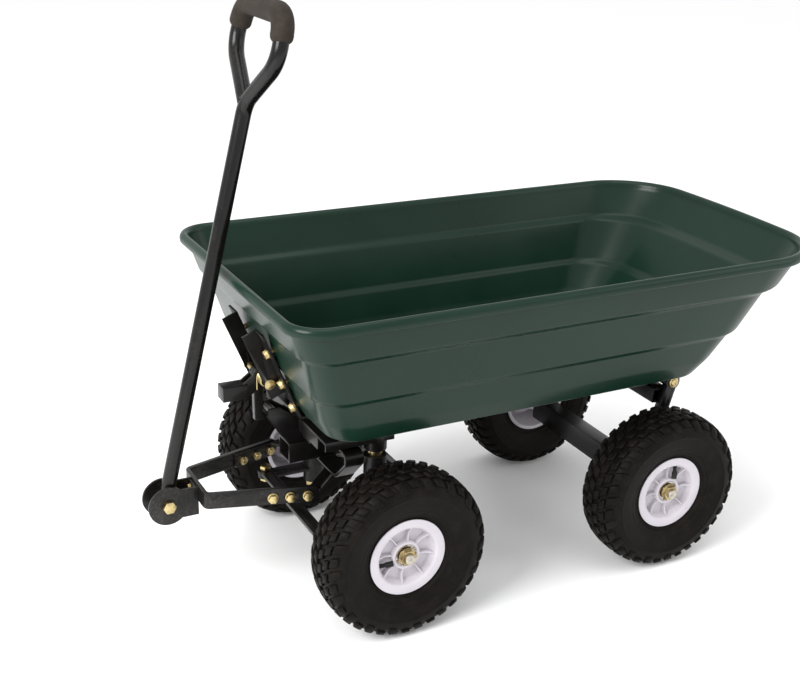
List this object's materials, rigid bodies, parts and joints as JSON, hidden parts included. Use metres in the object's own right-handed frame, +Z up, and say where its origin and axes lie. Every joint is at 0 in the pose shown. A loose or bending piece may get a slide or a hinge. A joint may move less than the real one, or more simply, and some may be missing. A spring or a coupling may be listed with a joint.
{
  "type": "tow behind dump cart",
  "caption": "Garden dump cart: a moulded poly tray tipping on a rear hinge rod, steel frame, linked steered front wheels with knobby tyres, and a fold-down pull handle on a forked drawbar.",
  "frame": {"origin": "on the ground under the cart's centre plane, halfway between the two axles", "axes": "+X points forward to the pull handle, +Y to the cart's left, +Z up"},
  "size_m": [1.057, 0.51, 0.8888],
  "materials": {
    "black_paint": "gloss black enamel",
    "yellow_zinc": "yellow zinc plated",
    "tray_green": "dark green moulded polyethylene, glossy",
    "rim_white": "white moulded plastic, semi-gloss",
    "tyre_rubber": "knobby tread, satin sidewall",
    "black_rubber": "satin",
    "foam": "closed-cell foam, matt",
    "bearing_steel": "ground steel",
    "bushing_plastic": "natural nylon",
    "axle_steel": "bright zinc"
  },
  "bodies": {
    "chassis": {"front_saddle": "black_paint", "frame_rails": "black_paint", "pivot_hoop": "black_paint", "nose_tube": "black_paint", "latch_strike": "black_paint", "rear_cross_tube": "black_paint", "rear_legs": "black_paint", "rear_axle_beam": "black_paint", "rear_axle": "axle_steel", "rear_axle_nuts": "yellow_zinc", "kingpin_bolts": "yellow_zinc", "drawbar_pivot_bolt": "yellow_zinc", "frame_bolts": "yellow_zinc", "rest_pads": "black_rubber", "tray_hinge_rod": "yellow_zinc"},
    "tray": {"tray_tub": "tray_green", "tray_rail_left": "black_paint", "tray_rail_right": "black_paint", "tray_hinge_bar": "black_paint", "latch_pin": "yellow_zinc", "tray_bolts": "yellow_zinc"},
    "latch": {"latch_lever": "black_paint", "latch_hook": "black_paint", "latch_spring": "yellow_zinc"},
    "tongue": {"drawbar": "black_paint", "steering_plate": "black_paint", "pivot_bushing": "bushing_plastic", "handle_yoke": "black_paint", "drawbar_bolts": "yellow_zinc", "handle_pivot_bolt": "yellow_zinc"},
    "handle": {"handle_tube": "black_paint", "foam_grip": "foam"},
    "drag_link": {"drag_link": "black_paint"},
    "tie_rod": {"tie_rod": "black_paint"},
    "knuckle_left": {"knuckle_left": "black_paint", "stub_axle_left": "axle_steel", "knuckle_bolts_left": "yellow_zinc"},
    "knuckle_right": {"knuckle_right": "black_paint", "stub_axle_right": "axle_steel", "knuckle_bolts_right": "yellow_zinc"},
    "wheel_front_left": {"tyre_front_left": "tyre_rubber", "rim_front_left": "rim_white", "bearings_front_left": "bearing_steel", "valve_front_left": "black_rubber"},
    "wheel_front_right": {"tyre_front_right": "tyre_rubber", "rim_front_right": "rim_white", "bearings_front_right": "bearing_steel", "valve_front_right": "black_rubber"},
    "wheel_rear_left": {"tyre_rear_left": "tyre_rubber", "rim_rear_left": "rim_white", "bearings_rear_left": "bearing_steel", "valve_rear_left": "black_rubber"},
    "wheel_rear_right": {"tyre_rear_right": "tyre_rubber", "rim_rear_right": "rim_white", "bearings_rear_right": "bearing_steel", "valve_rear_right": "black_rubber"}
  },
  "joints": [
    {"name": "steer", "type": "hinge", "parent": "chassis", "child": "tongue", "pos_m": [0.235, 0, 0.19], "axis": [0, 0, 1], "range_deg": [-17, 17]},
    {"name": "knuckle_left_steer", "type": "hinge", "parent": "chassis", "child": "knuckle_left", "pos_m": [0.235, 0.112, 0.17], "axis": [0, 0, 1], "range_deg": [-17, 17]},
    {"name": "knuckle_right_steer", "type": "hinge", "parent": "chassis", "child": "knuckle_right", "pos_m": [0.235, -0.112, 0.17], "axis": [0, 0, 1], "range_deg": [-17, 17]},
    {"name": "tie_rod_pivot", "type": "hinge", "parent": "knuckle_left", "child": "tie_rod", "pos_m": [0.32, 0.112, 0.125], "axis": [0, 0, 1], "range_deg": [-17, 17]},
    {"name": "drag_link_pivot", "type": "hinge", "parent": "tongue", "child": "drag_link", "pos_m": [0.175, 0, 0.185], "axis": [0, 0, 1], "range_deg": [-17, 17]},
    {"name": "handle_swing", "type": "hinge", "parent": "tongue", "child": "handle", "pos_m": [0.521, 0, 0.172], "axis": [0, 1, 0], "range_deg": [0, 110]},
    {"name": "tray_dump", "type": "hinge", "parent": "chassis", "child": "tray", "pos_m": [-0.281, 0, 0.284], "axis": [0, -1, 0], "range_deg": [0, 80]},
    {"name": "latch_release", "type": "hinge", "parent": "tray", "child": "latch", "pos_m": [0.372, 0, 0.35], "axis": [0, 1, 0], "range_deg": [-25, 0], "stiffness_Nm_per_rad": 0.6, "springref_deg": 17.19},
    {"name": "wheel_front_left_spin", "type": "hinge", "parent": "knuckle_left", "child": "wheel_front_left", "pos_m": [0.235, 0.196, 0.13], "axis": [0, 1, 0], "continuous": true},
    {"name": "wheel_front_right_spin", "type": "hinge", "parent": "knuckle_right", "child": "wheel_front_right", "pos_m": [0.235, -0.196, 0.13], "axis": [0, 1, 0], "continuous": true},
    {"name": "wheel_rear_left_spin", "type": "hinge", "parent": "chassis", "child": "wheel_rear_left", "pos_m": [-0.235, 0.196, 0.13], "axis": [0, 1, 0], "continuous": true},
    {"name": "wheel_rear_right_spin", "type": "hinge", "parent": "chassis", "child": "wheel_rear_right", "pos_m": [-0.235, -0.196, 0.13], "axis": [0, 1, 0], "continuous": true}
  ],
  "couplings": [
    {"joint": "knuckle_left_steer", "follows": "steer", "ratio": 1},
    {"joint": "knuckle_right_steer", "follows": "steer", "ratio": 1},
    {"joint": "tie_rod_pivot", "follows": "steer", "ratio": -1},
    {"joint": "drag_link_pivot", "follows": "steer", "ratio": -1}
  ]
}
